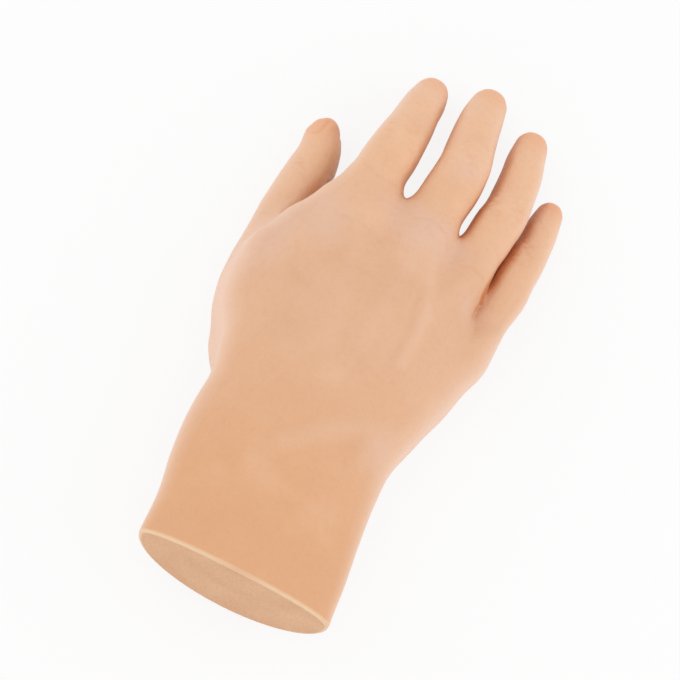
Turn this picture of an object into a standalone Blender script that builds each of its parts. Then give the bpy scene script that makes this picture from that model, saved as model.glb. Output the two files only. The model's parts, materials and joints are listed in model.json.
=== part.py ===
"""Hand mannequin: a right hand in silicone over a jointed armature, lying palm down.

The origin is the centre of the wrist's cut face. +Y runs to the fingertips, +X to the little
finger and +Z out of the back of the hand. Sizes are in millimetres, scaled to metres at the end.
"""
import math

import bmesh
import bpy
from mathutils import Vector

MM = 0.001

# Hinge ranges in degrees from the resting pose, positive toward the palm.
ROOT_RANGE = (-10.0, 35.0)
MID_RANGE = (-20.0, 45.0)
TIP_RANGE = (-15.0, 35.0)
THUMB_RANGES = ((-15.0, 12.0), (-15.0, 30.0))
RELIEF_MARGIN = 1.5

# Armature.
LINK_EYE = 3.6
TONGUE_HALF = 1.3
FORK_INNER = 1.6
FORK_OUTER = 3.1
PIN_RADIUS = 1.3
PIN_HOLE = 1.6
PIN_HALF = 3.0
PIN_SIDES = 16
SLOT_REACH = 4.3
CHANNEL_SIDE = 0.45
CHANNEL_HEIGHT = 4.3
BLOCK = {"x": (-29.0, 31.0), "y": (66.0, 82.0), "z": (-9.0, 7.0)}
BAR_SEAT = 7.0
BAR_SPARE = 0.5
SEAT_GAP = 0.3
ROD_RADIUS = 5.0
ROD_Y = (14.0, 74.0)
ROD_Z = -1.0
ROD_SIDES = 16
DISC_RADIUS = 15.0
DISC_Y = (10.0, 13.7)
NUT_RADIUS = 8.5
NUT_Y = (61.5, 65.7)
NUT_SIDES = 6
NUT_GAP = 0.2
NUT_SPARE = 0.6

# Skin.
SKIN_SIDES = 14
PALM_SIDES = 24
SKIN_GAP = 0.4
RIM_WALL = 3.5
CORE_GAP = 0.6
CORE_DEPTH = 58.0

# Palm and wrist outline by stations: y, left x, right x, top z, z of the widest line, bottom z, fall of
# the back per mm of x.
PALM = (
    (0.0, -38.6, 37.6, 24.0, 10.5, -25.0, 0.0),
    (18.5, -39.4, 35.6, 24.0, 8.0, -25.0, 0.0),
    (33.5, -41.2, 33.8, 23.8, 6.0, -24.8, 0.0),
    (49.5, -42.4, 32.4, 23.4, 4.0, -24.8, 0.0),
    (65.5, -41.6, 32.8, 22.8, 2.0, -24.6, 0.01),
    (79.5, -39.0, 35.8, 22.8, 1.0, -22.5, 0.03),
    (95.5, -35.0, 40.2, 22.8, 2.0, -19.0, 0.05),
    (109.5, -33.0, 44.0, 22.4, 3.0, -15.5, 0.07),
    (123.5, -32.0, 46.2, 21.2, 4.0, -12.5, 0.08),
    (134.5, -31.0, 46.6, 18.6, 5.0, -8.5, 0.08),
    (142.0, -27.0, 43.0, 13.0, 5.0, -3.0, 0.08),
)
PALM_POWER = 2.4

# Heel of the palm on the little finger's side: x, y, z and radius.
HEEL = (
    (14.0, 54.0, -9.5, 11.0),
    (16.4, 65.5, -9.5, 13.2),
    (17.8, 81.5, -9.5, 15.0),
    (24.6, 99.5, -8.0, 14.2),
    (33.8, 119.5, -3.5, 11.0),
    (36.5, 130.0, -1.0, 7.0),
)

# Ball of the thumb, from the wrist to its root hinge: x, y, z and radius.
THUMB_BALL = (
    (-26.0, 67.5, -7.0, 11.0),
    (-33.5, 86.5, -8.5, 15.8),
    (-38.6, 100.5, -9.5, 15.4),
    (-41.8, 117.5, -11.0, 13.5),
    (-43.4, 130.5, -12.0, 11.4),
)

# Web between the thumb and the index finger, whose edge lies over the thumb: x, y, z and radius.
THUMB_WEB = (
    (-38.0, 112.0, -2.0, 8.5),
    (-39.0, 123.0, 0.0, 7.2),
    (-28.5, 145.0, 4.5, 6.5),
    (-24.0, 152.0, 6.0, 4.0),
)

# Digits: root hinge, heading toward +X, roll of the nail toward -X, slope of each segment below the
# heading, segment lengths, half widths at the hinges and near the tip, depth to width, web half widths.
DIGITS = {
    "index": {
        "root": (-20.2, 166.5, 7.0), "heading": 5.0, "roll": 0.0,
        "slopes": (6.0, 32.0, 40.0), "lengths": (13.0, 20.0, 22.5),
        "widths": (9.6, 8.9, 7.8, 6.9), "depth": 0.96,
        "stub": (-19.0, 125.5, 8.0), "web": (10.4, 13.0, 154.5), "seat": (-14.0, 2.5),
    },
    "middle": {
        "root": (5.9, 166.5, 8.0), "heading": -1.5, "roll": 0.0,
        "slopes": (6.0, 31.0, 37.0), "lengths": (14.6, 22.0, 24.0),
        "widths": (9.8, 9.3, 8.3, 7.2), "depth": 0.96,
        "stub": (4.8, 125.5, 9.0), "web": (13.0, 11.2, 152.5), "seat": (1.0, 2.5),
    },
    "ring": {
        "root": (27.2, 159.0, 5.0), "heading": -2.6, "roll": 0.0,
        "slopes": (5.0, 24.0, 36.0), "lengths": (13.0, 22.0, 24.0),
        "widths": (7.8, 7.6, 7.0, 6.3), "depth": 0.98,
        "stub": (24.0, 123.5, 6.0), "web": (11.2, 8.0, 149.0), "seat": (14.5, 1.5),
    },
    "little": {
        "root": (41.5, 146.5, -1.0), "heading": 0.5, "roll": 0.0,
        "slopes": (8.0, 25.0, 34.0), "lengths": (15.5, 16.5, 19.0),
        "widths": (6.3, 6.2, 5.9, 5.4), "depth": 1.0,
        "stub": (36.5, 117.5, 1.0), "web": (6.6, 6.5, 138.5), "seat": (25.5, -1.0),
    },
    "thumb": {
        "root": (-44.5, 140.5, -12.0), "heading": -4.0, "roll": 45.0,
        "slopes": (8.0, -2.0), "lengths": (18.0, 24.2),
        "widths": (9.7, 8.9, 7.2), "depth": 0.95,
        "seat": (-24.5, -5.0),
    },
}
SEGMENTS = {3: ("root", "mid", "tip"), 2: ("root", "tip")}
RANGES = {"root": ROOT_RANGE, "mid": MID_RANGE, "tip": TIP_RANGE}
STUB_END = 2.5
TIP_STATIONS = ((0.45, 1.0), (0.68, 0.97), (0.85, 0.8), (0.95, 0.52))
TIP_LINK_SHARE = 0.5

UP = Vector((0.0, 0.0, 1.0))
ACROSS = Vector((1.0, 0.0, 0.0))

COLOURS = {
    "silicone_skin": (0.79, 0.47, 0.30, 0.55, 0.0),
    "filled_core": (0.70, 0.42, 0.26, 0.8, 0.0),
    "white_nylon": (0.82, 0.82, 0.79, 0.5, 0.0),
    "zinc_steel": (0.55, 0.56, 0.58, 0.35, 1.0),
}


def clear_scene():
    for obj in list(bpy.data.objects):
        bpy.data.objects.remove(obj, do_unlink=True)


def material(name, kind):
    red, green, blue, roughness, metallic = COLOURS[kind]
    made = bpy.data.materials.new(kind + "_" + name)
    made.use_nodes = True
    shader = made.node_tree.nodes["Principled BSDF"]
    shader.inputs["Base Color"].default_value = (red, green, blue, 1.0)
    shader.inputs["Roughness"].default_value = roughness
    shader.inputs["Metallic"].default_value = metallic
    made.diffuse_color = (red, green, blue, 1.0)
    return made


def add_object(name, bm, origin, kind=None):
    """Put a bmesh in millimetres into the scene with its origin at a point, as a node or a cutter."""
    bmesh.ops.recalc_face_normals(bm, faces=bm.faces)
    bmesh.ops.translate(bm, verts=bm.verts, vec=-Vector(origin))
    bmesh.ops.scale(bm, verts=bm.verts, vec=(MM, MM, MM))
    mesh = bpy.data.meshes.new(name)
    bm.to_mesh(mesh)
    bm.free()
    obj = bpy.data.objects.new(name, mesh)
    obj.location = Vector(origin) * MM
    bpy.context.scene.collection.objects.link(obj)
    if kind is None:
        obj.hide_render = True
        obj.display_type = "WIRE"
    else:
        mesh.materials.append(material(name, kind))
    return obj


def combine(obj, tool, operation):
    boolean = obj.modifiers.new(operation.lower() + "_" + tool.name, "BOOLEAN")
    boolean.operation = operation
    boolean.solver = "EXACT"
    boolean.object = tool


def signed_power(value, power):
    return math.copysign(abs(value) ** power, value)


def oval(centre, across, up, left, right, top, bottom, sides, power=2.2):
    """A closed ring whose four quarters each have their own reach."""
    ring = []
    for step in range(sides):
        turn = 2.0 * math.pi * (step + 0.5) / sides
        side = signed_power(math.cos(turn), 2.0 / power)
        lift = signed_power(math.sin(turn), 2.0 / power)
        reach = right if side > 0.0 else left
        height = top if lift > 0.0 else bottom
        ring.append(centre + across * side * reach + up * lift * height)
    return ring


def oblong(centre, across, up, half_width, half_height):
    corners = ((-1, -1), (1, -1), (1, 1), (-1, 1))
    return [centre + across * half_width * x + up * half_height * z for x, z in corners]


def loft(rings):
    """A closed body through rings that all have the same number of points."""
    bm = bmesh.new()
    rows = [[bm.verts.new(point) for point in ring] for ring in rings]
    count = len(rows[0])
    for near, far in zip(rows, rows[1:]):
        for step in range(count):
            after = (step + 1) % count
            bm.faces.new((near[step], near[after], far[after], far[step]))
    bm.faces.new(rows[0][::-1])
    bm.faces.new(rows[-1])
    return bm


def box(low, high):
    bm = bmesh.new()
    bmesh.ops.create_cube(bm, size=1.0)
    for vert in bm.verts:
        vert.co = Vector(low[i] + (vert.co[i] + 0.5) * (high[i] - low[i]) for i in range(3))
    return bm


def cylinder(start, end, radius, sides):
    axis = (end - start).normalized()
    across = axis.orthogonal().normalized()
    up = axis.cross(across)
    rings = []
    for centre in (start, end):
        ring = []
        for step in range(sides):
            turn = 2.0 * math.pi * (step + 0.5) / sides
            ring.append(centre + (across * math.cos(turn) + up * math.sin(turn)) * radius)
        rings.append(ring)
    return loft(rings)


def trim(bm, point, normal):
    """Cut away what lies ahead of a plane and close the cut."""
    geometry = bm.verts[:] + bm.edges[:] + bm.faces[:]
    cut = bmesh.ops.bisect_plane(bm, geom=geometry, plane_co=point, plane_no=normal, clear_outer=True)
    edges = [item for item in cut["geom_cut"] if isinstance(item, bmesh.types.BMEdge)]
    if edges:
        bmesh.ops.edgenet_fill(bm, edges=edges)


class Digit:
    """The hinges and segment frames of one finger or the thumb in its resting pose."""

    def __init__(self, name, data):
        self.name = name
        self.data = data
        self.parts = SEGMENTS[len(data["lengths"])]
        self.ranges = [RANGES[part] for part in self.parts]
        if name == "thumb":
            self.ranges = THUMB_RANGES
        heading = math.radians(data["heading"])
        roll = math.radians(data["roll"])
        self.ahead = Vector((math.sin(heading), math.cos(heading), 0.0))
        side = Vector((math.cos(heading), -math.sin(heading), 0.0))
        self.up = UP * math.cos(roll) - side * math.sin(roll)
        self.across = self.ahead.cross(self.up)
        self.hinges = [Vector(data["root"])]
        self.directions = []
        self.ups = []
        for slope, length in zip(data["slopes"], data["lengths"]):
            turn = math.radians(slope)
            along = self.ahead * math.cos(turn) - self.up * math.sin(turn)
            self.directions.append(along)
            self.ups.append(self.ahead * math.sin(turn) + self.up * math.cos(turn))
            self.hinges.append(self.hinges[-1] + along * length)

    def relief_planes(self, index, before):
        """The two planes that end the skin at a hinge, before it or after it, leaving room to bend."""
        low, high = self.ranges[index]
        ahead = self.directions[index].copy()
        ahead += self.directions[index - 1] if index else self.ahead
        ahead.normalize()
        up = self.across.cross(ahead)
        facing = 1.0 if before else -1.0
        point = self.hinges[index] - ahead * facing * SKIN_GAP / 2.0
        planes = []
        for bend, face in ((high, -1.0), (-low, 1.0)):
            turn = math.radians(bend / 2.0 + RELIEF_MARGIN)
            planes.append((point, ahead * facing * math.cos(turn) + up * face * math.sin(turn)))
        return planes


def bar_profile(start_round, end_round):
    """Stations along a link past its ends, as reach beyond the hinge and half height."""
    eye = ((3.4, 1.2), (2.5, 2.6), (0.0, LINK_EYE))
    stations = []
    if start_round:
        stations += [("start", -reach, height) for reach, height in eye]
    if end_round:
        stations += [("end", reach, height) for reach, height in reversed(eye)]
    return stations


def pin_hole(digit, index):
    centre = digit.hinges[index]
    reach = digit.across * (FORK_OUTER + 2.0)
    hole = cylinder(centre - reach, centre + reach, PIN_HOLE, PIN_SIDES)
    return add_object("hole_%s_%d" % (digit.name, index), hole, centre)


def fork_slot(digit, index, along, up):
    hinge = digit.hinges[index]
    near = oblong(hinge - along * SLOT_REACH, digit.across, up, FORK_INNER, 8.0)
    far = oblong(hinge + along * 8.0, digit.across, up, FORK_INNER, 8.0)
    return add_object("slot_%s_%d" % (digit.name, index), loft([near, far]), hinge)


def side_pockets(digit, index, along, up):
    hinge = digit.hinges[index]
    pockets = []
    for side in (-1.0, 1.0):
        middle = digit.across * side * (TONGUE_HALF + 4.0)
        near = oblong(hinge + middle - along * 8.0, digit.across, up, 4.0, 8.0)
        far = oblong(hinge + middle + along * SLOT_REACH, digit.across, up, 4.0, 8.0)
        label = "pocket_%s_%d_%d" % (digit.name, index, side > 0.0)
        pockets.append(add_object(label, loft([near, far]), hinge))
    return pockets


def make_link(digit, index):
    """One link: a tongue on its own hinge and, unless it is the last, a fork round the next one."""
    along = digit.directions[index]
    up = digit.ups[index]
    start = digit.hinges[index]
    last = index == len(digit.parts) - 1
    end = start + along * digit.data["lengths"][index] * (TIP_LINK_SHARE if last else 1.0)
    rings = []
    for anchor, reach, height in bar_profile(True, True):
        centre = (start if anchor == "start" else end) + along * reach
        rings.append(oblong(centre, digit.across, up, FORK_OUTER, height))
    link = add_object("%s_%s_link" % (digit.name, digit.parts[index]), loft(rings), start, "white_nylon")
    for pocket in side_pockets(digit, index, along, up):
        combine(link, pocket, "DIFFERENCE")
    combine(link, pin_hole(digit, index), "DIFFERENCE")
    if not last:
        combine(link, fork_slot(digit, index + 1, along, up), "DIFFERENCE")
        combine(link, pin_hole(digit, index + 1), "DIFFERENCE")


def make_pin(digit, index):
    centre = digit.hinges[index]
    reach = digit.across * PIN_HALF
    name = "%s_%s_pin" % (digit.name, digit.parts[index])
    add_object(name, cylinder(centre - reach, centre + reach, PIN_RADIUS, PIN_SIDES), centre, "zinc_steel")


def bar_rings(digit, spare):
    """A palm bar from its seat in the block to the fork at the root hinge, with spare all round."""
    seat_x, seat_z = digit.data["seat"]
    face = BLOCK["y"][1]
    hinge = digit.hinges[0]
    tail = Vector((seat_x, face - BAR_SEAT - spare, seat_z))
    neck = Vector((seat_x, face + 5.0, seat_z))
    knee = hinge - digit.ahead * 15.0
    half = FORK_OUTER + spare
    tall = LINK_EYE + spare
    rings = [oblong(tail, ACROSS, UP, half, tall), oblong(neck, ACROSS, UP, half, tall)]
    rings.append(oblong(knee, digit.across, digit.up, half, tall))
    for anchor, reach, height in bar_profile(False, True):
        rings.append(oblong(hinge + digit.ahead * reach, digit.across, digit.up, half, height + spare))
    return rings


def make_bar(digit):
    bar = add_object(digit.name + "_bar", loft(bar_rings(digit, 0.0)), (0.0, 0.0, 0.0), "white_nylon")
    combine(bar, fork_slot(digit, 0, digit.ahead, digit.up), "DIFFERENCE")
    combine(bar, pin_hole(digit, 0), "DIFFERENCE")


def channel(digit, index):
    """The space for the armature through one skin section; blind in the last."""
    along = digit.directions[index]
    up = digit.ups[index]
    start = digit.hinges[index]
    last = index == len(digit.parts) - 1
    length = digit.data["lengths"][index]
    reach = length * TIP_LINK_SHARE + LINK_EYE + CHANNEL_SIDE if last else length + 6.0
    half = FORK_OUTER + CHANNEL_SIDE
    near = oblong(start - along * 6.0, digit.across, up, half, CHANNEL_HEIGHT)
    far = oblong(start + along * reach, digit.across, up, half, CHANNEL_HEIGHT)
    return add_object("channel_%s_%d" % (digit.name, index), loft([near, far]), start)


def section_ring(digit, index, reach, width):
    centre = digit.hinges[index] + digit.directions[index] * reach
    deep = width * digit.data["depth"]
    return oval(centre, digit.across, digit.ups[index], width, width, deep, deep, SKIN_SIDES)


def make_section(digit, index):
    """One length of finger skin between two hinges, or the closed fingertip."""
    length = digit.data["lengths"][index]
    near, far = digit.data["widths"][index:index + 2]
    last = index == len(digit.parts) - 1
    rings = [section_ring(digit, index, -4.0, near), section_ring(digit, index, 0.0, near)]
    if last:
        for share, width in TIP_STATIONS:
            rings.append(section_ring(digit, index, length * share, far * width))
        rings.append(section_ring(digit, index, length, far * 0.2))
    else:
        rings.append(section_ring(digit, index, length * 0.5, (near + far) * 0.49))
        rings.append(section_ring(digit, index, length, far))
        rings.append(section_ring(digit, index, length + 4.0, far))
    bm = loft(rings)
    for point, normal in digit.relief_planes(index, False):
        trim(bm, point, normal)
    if not last:
        for point, normal in digit.relief_planes(index + 1, True):
            trim(bm, point, normal)
    name = "%s_%s_skin" % (digit.name, digit.parts[index])
    skin = add_object(name, bm, digit.hinges[index], "silicone_skin")
    combine(skin, channel(digit, index), "DIFFERENCE")


def finger_stub(digit):
    """The palm's share of a finger, from the knuckle past the web to the root hinge."""
    data = digit.data
    hinge = digit.hinges[0]
    base = Vector(data["stub"])
    left, right, web_y = data["web"]
    width = data["widths"][0]
    deep = width * data["depth"]
    share = (web_y - base.y) / (hinge.y - base.y)
    web = base.lerp(hinge, share)
    rings = [
        oval(base, digit.across, UP, left * 0.9, right * 0.9, deep, deep, SKIN_SIDES),
        oval(web, digit.across, UP, left, right, deep * 1.04, deep * 1.04, SKIN_SIDES),
        oval(hinge - digit.ahead * STUB_END, digit.across, UP, width, width, deep, deep, SKIN_SIDES),
        oval(hinge + digit.ahead * 4.0, digit.across, UP, width, width, deep, deep, SKIN_SIDES),
    ]
    return trimmed_stub(digit, rings)


def limb_rings(beads):
    """Upright round rings, one for each bead of a limb."""
    rings = []
    for x, y, z, radius in beads:
        rings.append(oval(Vector((x, y, z)), ACROSS, UP, radius, radius, radius, radius, PALM_SIDES))
    return rings


def thumb_stub(digit):
    hinge = digit.hinges[0]
    width = digit.data["widths"][0]
    rings = limb_rings(THUMB_BALL)
    for reach in (-3.0, 4.0):
        centre = hinge + digit.ahead * reach
        deep = width * digit.data["depth"]
        rings.append(oval(centre, ACROSS, UP, deep, deep, width, width, PALM_SIDES))
    return trimmed_stub(digit, rings)


def trimmed_stub(digit, rings):
    bm = loft(rings)
    for point, normal in digit.relief_planes(0, True):
        trim(bm, point, normal)
    return add_object("stub_" + digit.name, bm, (0.0, 0.0, 0.0))


def palm_ring(y, left, right, top, waist, bottom, fall, inset=0.0):
    centre = Vector(((left + right) / 2.0, y, waist))
    across = (ACROSS - UP * fall).normalized()
    half = (right - left) / 2.0 - inset
    above = top - waist - inset
    below = waist - bottom - inset
    return oval(centre, across, UP, half, half, above, below, PALM_SIDES, PALM_POWER)


def core_rings(inset, start, end):
    """Rings of the wrist's fill, set in from the skin's outline."""
    stations = [PALM[0][1:], PALM[2][1:], PALM[3][1:], PALM[4][1:]]
    places = [start, PALM[2][0], PALM[3][0], end]
    return [palm_ring(y, *station, inset) for y, station in zip(places, stations)]


def make_palm(digits):
    """Palm, back and wrist with the stubs of the digits, hollowed for the core, the block and the bars."""
    outline = loft([palm_ring(*station) for station in PALM])
    palm = add_object("palm_skin", outline, (0, 0, 0), "silicone_skin")
    for name, beads in (("heel", HEEL), ("thumb_web", THUMB_WEB)):
        combine(palm, add_object(name, loft(limb_rings(beads)), (0, 0, 0)), "UNION")
    for digit in digits:
        stub = thumb_stub(digit) if digit.name == "thumb" else finger_stub(digit)
        combine(palm, stub, "UNION")
    core_space = loft(core_rings(RIM_WALL, -2.0, CORE_DEPTH + CORE_GAP))
    combine(palm, add_object("core_space", core_space, (0, 0, 0)), "DIFFERENCE")
    low = [BLOCK[axis][0] - SEAT_GAP for axis in "xyz"]
    high = [BLOCK[axis][1] + SEAT_GAP for axis in "xyz"]
    combine(palm, add_object("block_space", box(low, high), (0, 0, 0)), "DIFFERENCE")
    passage = rod_cylinder(CORE_DEPTH - 2.0, BLOCK["y"][0] + 1.0, NUT_RADIUS + NUT_SPARE)
    combine(palm, add_object("nut_space", passage, (0, 0, 0)), "DIFFERENCE")
    for digit in digits:
        space = add_object("bar_space_" + digit.name, loft(bar_rings(digit, BAR_SPARE)), (0, 0, 0))
        combine(palm, space, "DIFFERENCE")


def rod_cylinder(start_y, end_y, radius, sides=ROD_SIDES):
    """A cylinder about the wrist rod's axis."""
    return cylinder(Vector((0, start_y, ROD_Z)), Vector((0, end_y, ROD_Z)), radius, sides)


def make_core():
    """The fill at the wrist, cast round the rod's end and its disc."""
    rings = core_rings(RIM_WALL + CORE_GAP, 0.0, CORE_DEPTH)
    core = add_object("wrist_core", loft(rings), (0, 0, 0), "filled_core")
    bore = rod_cylinder(DISC_Y[0] + 1.0, CORE_DEPTH + 2.0, ROD_RADIUS + SEAT_GAP)
    combine(core, add_object("rod_bore", bore, (0, 0, 0)), "DIFFERENCE")
    pocket = rod_cylinder(DISC_Y[0] - SEAT_GAP, DISC_Y[1] + SEAT_GAP, DISC_RADIUS + SEAT_GAP)
    combine(core, add_object("disc_pocket", pocket, (0, 0, 0)), "DIFFERENCE")


def make_block(digits):
    low = [BLOCK[axis][0] for axis in "xyz"]
    high = [BLOCK[axis][1] for axis in "xyz"]
    block = add_object("wrist_block", box(low, high), (0, 0, 0), "white_nylon")
    bore = rod_cylinder(BLOCK["y"][0] - 1.0, ROD_Y[1] + SEAT_GAP, ROD_RADIUS + SEAT_GAP)
    combine(block, add_object("block_bore", bore, (0, 0, 0)), "DIFFERENCE")
    for digit in digits:
        seat = add_object("seat_" + digit.name, loft(bar_rings(digit, SEAT_GAP)[:2]), (0, 0, 0))
        combine(block, seat, "DIFFERENCE")


def make_rod():
    """The rod from the block into the fill, its lock nut and its disc."""
    add_object("wrist_rod", rod_cylinder(*ROD_Y, ROD_RADIUS), (0, 0, 0), "zinc_steel")
    nut = add_object("rod_nut", rod_cylinder(*NUT_Y, NUT_RADIUS, NUT_SIDES), (0, 0, 0), "zinc_steel")
    hole = rod_cylinder(NUT_Y[0] - 1.0, NUT_Y[1] + 1.0, ROD_RADIUS + NUT_GAP)
    combine(nut, add_object("nut_hole", hole, (0, 0, 0)), "DIFFERENCE")
    add_object("anchor_disc", rod_cylinder(*DISC_Y, DISC_RADIUS), (0, 0, 0), "zinc_steel")


def main():
    clear_scene()
    digits = [Digit(name, data) for name, data in DIGITS.items()]
    make_palm(digits)
    make_core()
    make_block(digits)
    make_rod()
    for digit in digits:
        make_bar(digit)
        for index in range(len(digit.parts)):
            make_link(digit, index)
            make_pin(digit, index)
            make_section(digit, index)


main()
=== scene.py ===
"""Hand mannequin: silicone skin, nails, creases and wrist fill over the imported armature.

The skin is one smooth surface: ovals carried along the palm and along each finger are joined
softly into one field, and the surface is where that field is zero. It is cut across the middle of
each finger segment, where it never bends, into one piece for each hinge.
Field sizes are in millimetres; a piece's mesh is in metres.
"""
import json
import math

import bmesh
import bpy
import numpy as np
from mathutils import Matrix, Vector


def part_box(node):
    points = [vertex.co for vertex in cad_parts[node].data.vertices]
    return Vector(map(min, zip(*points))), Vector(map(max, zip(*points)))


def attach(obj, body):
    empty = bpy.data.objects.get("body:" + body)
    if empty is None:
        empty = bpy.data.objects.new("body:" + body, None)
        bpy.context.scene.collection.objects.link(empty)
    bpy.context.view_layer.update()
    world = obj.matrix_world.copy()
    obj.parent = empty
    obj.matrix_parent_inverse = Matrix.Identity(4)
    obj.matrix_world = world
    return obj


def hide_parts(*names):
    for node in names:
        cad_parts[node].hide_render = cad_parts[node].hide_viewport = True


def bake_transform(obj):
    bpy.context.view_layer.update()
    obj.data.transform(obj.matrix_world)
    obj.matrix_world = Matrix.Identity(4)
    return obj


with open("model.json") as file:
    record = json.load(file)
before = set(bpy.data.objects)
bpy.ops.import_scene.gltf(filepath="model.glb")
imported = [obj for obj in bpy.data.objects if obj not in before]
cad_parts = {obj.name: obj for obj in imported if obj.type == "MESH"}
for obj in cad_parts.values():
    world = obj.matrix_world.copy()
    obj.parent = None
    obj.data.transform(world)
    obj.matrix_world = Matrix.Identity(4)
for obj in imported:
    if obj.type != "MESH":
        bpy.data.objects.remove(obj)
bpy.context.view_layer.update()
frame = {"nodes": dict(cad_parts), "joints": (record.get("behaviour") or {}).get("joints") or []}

MM = 0.001

# Camera: size and scale of the picture, angles in degrees, distance and target in mm, and its far limit in m.
PIXELS = 680.0
PIXELS_PER_MM = 2.77
CAMERA_ELEVATION = 71.0
CAMERA_ROLL = 27.0
CAMERA_DISTANCE = 2400.0
CAMERA_TARGET = (-5.6, 102.5, 0.0)
SENSOR_MM = 36.0
FARTHEST = 20.0

# Floor, in mm: its height and its reach each way, and how much of it shows as plain white.
FLOOR_Z = -25.4
FLOOR_REACH = 4000.0
FLOOR_WHITE = 0.85
# Lamps: name, place in metres, power in watts and breadth in metres; then where they aim, and the light that
# comes from all sides.
LAMPS = (
    ("key", (-0.45, 0.0, 0.85), 0.8, 0.7),
    ("right_fill", (0.75, 0.3, 0.5), 2.1, 0.8),
    ("left_fill", (-0.8, 0.3, 0.35), 1.2, 0.8),
    ("front_fill", (0.0, -0.9, 0.4), 1.2, 0.8),
)
LAMP_AIM = (0.0, 0.09, 0.0)
ROOM_LIGHT = 0.72

# Boxes and steps of the fields: the palm's skin, a digit's skin, with the room round it and how much of it
# lies before its first seam, and the coarse field that judges shade.
PALM_BOX = ((-60.0, -3.0, -29.0), (53.0, 170.0, 27.0))
PALM_STEP = 0.8
DIGIT_MARGIN = 13.0
DIGIT_LEAD = 6.0
DIGIT_STEP = 0.6
SHADE_BOX = ((-62.0, -4.0, -32.0), (56.0, 230.0, 30.0))
SHADE_STEP = 1.5
# How points are drawn onto the field's zero: passes, the least slope squared, and the farthest move in steps.
DRAW_PASSES = 2
DRAW_SLOPE = 0.25
DRAW_MOST = 0.5

# Palm and wrist: y, left x, right x, top z, z of the widest line, bottom z, fall of the back per mm of x.
# Then the row at the cut face, and the powers of the ovals above and below the widest line.
PALM = np.array((
    (-12.0, -37.6, 39.0, 24.0, 11.5, -25.0, 0.0),
    (0.0, -38.3, 37.2, 24.0, 10.5, -25.0, 0.0),
    (18.5, -38.9, 35.6, 24.0, 8.0, -25.0, 0.0),
    (33.5, -41.2, 33.8, 23.8, 6.0, -24.8, 0.0),
    (49.5, -42.4, 32.4, 23.4, 4.0, -24.8, 0.0),
    (65.5, -41.6, 32.4, 22.8, 2.0, -24.6, 0.01),
    (79.5, -39.0, 35.8, 22.8, 1.0, -22.5, 0.03),
    (95.5, -35.0, 40.0, 22.8, 2.0, -19.0, 0.05),
    (109.5, -33.0, 43.4, 22.4, 3.0, -15.5, 0.07),
    (123.5, -32.0, 45.0, 21.4, 4.0, -12.5, 0.08),
    (134.5, -31.5, 45.8, 19.6, 5.0, -9.5, 0.08),
    (145.5, -30.5, 45.2, 17.2, 5.0, -7.0, 0.08),
    (163.5, -28.0, 40.0, 12.0, 5.0, -2.0, 0.08),
))
CUT_FACE = 1
BACK_POWER = 2.4
PALM_POWER = 1.95
# Where the palm ends ahead, at six places across, and how softly.
PALM_END_X = (-40.0, 18.0, 31.0, 36.0, 43.0, 50.0)
PALM_END_Y = (139.5, 139.5, 124.0, 124.0, 131.0, 136.0)
PALM_SOFT = 9.0

# Heel of the palm on the little finger's side: x, y, z and radius.
HEEL = (
    (16.4, 65.5, -9.5, 12.8),
    (17.8, 81.5, -9.5, 14.4),
    (25.4, 99.5, -8.0, 13.6),
    (32.6, 119.5, -3.5, 10.5),
)

# Web between the thumb and the index finger, whose edge lies over the thumb: x, y, z and radius.
THUMB_WEB = (
    (-40.0, 108.0, -1.0, 8.0),
    (-43.2, 121.0, 1.5, 6.6),
    (-37.0, 134.0, 3.5, 6.3),
    (-29.2, 148.0, 5.5, 6.2),
    (-26.0, 156.0, 6.5, 5.0),
)

# Muscle behind that web, between the thumb's bone and the index finger's: x, y, z and radius.
WEB_MUSCLE = (
    (-31.0, 84.0, 4.0, 13.0),
    (-36.0, 100.0, 2.5, 13.0),
    (-37.0, 115.0, 1.5, 11.5),
    (-33.0, 128.0, 4.0, 9.6),
    (-26.0, 142.0, 7.0, 8.0),
)

# How softly each of these joins the palm, and the beads of one limb each other.
FLESH = ((HEEL, 7.0), (WEB_MUSCLE, 10.0), (THUMB_WEB, 8.0))
BEAD_SOFT = 3.0

# Ball of the thumb from the wrist to the thumb's root: x, y, z and radius.
THUMB_BALL = (
    (-26.0, 68.5, -7.0, 10.6),
    (-33.5, 87.5, -8.5, 15.2),
    (-37.4, 100.5, -9.5, 14.3),
    (-41.8, 117.5, -11.0, 13.7),
    (-43.4, 130.5, -12.0, 11.4),
)

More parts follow.
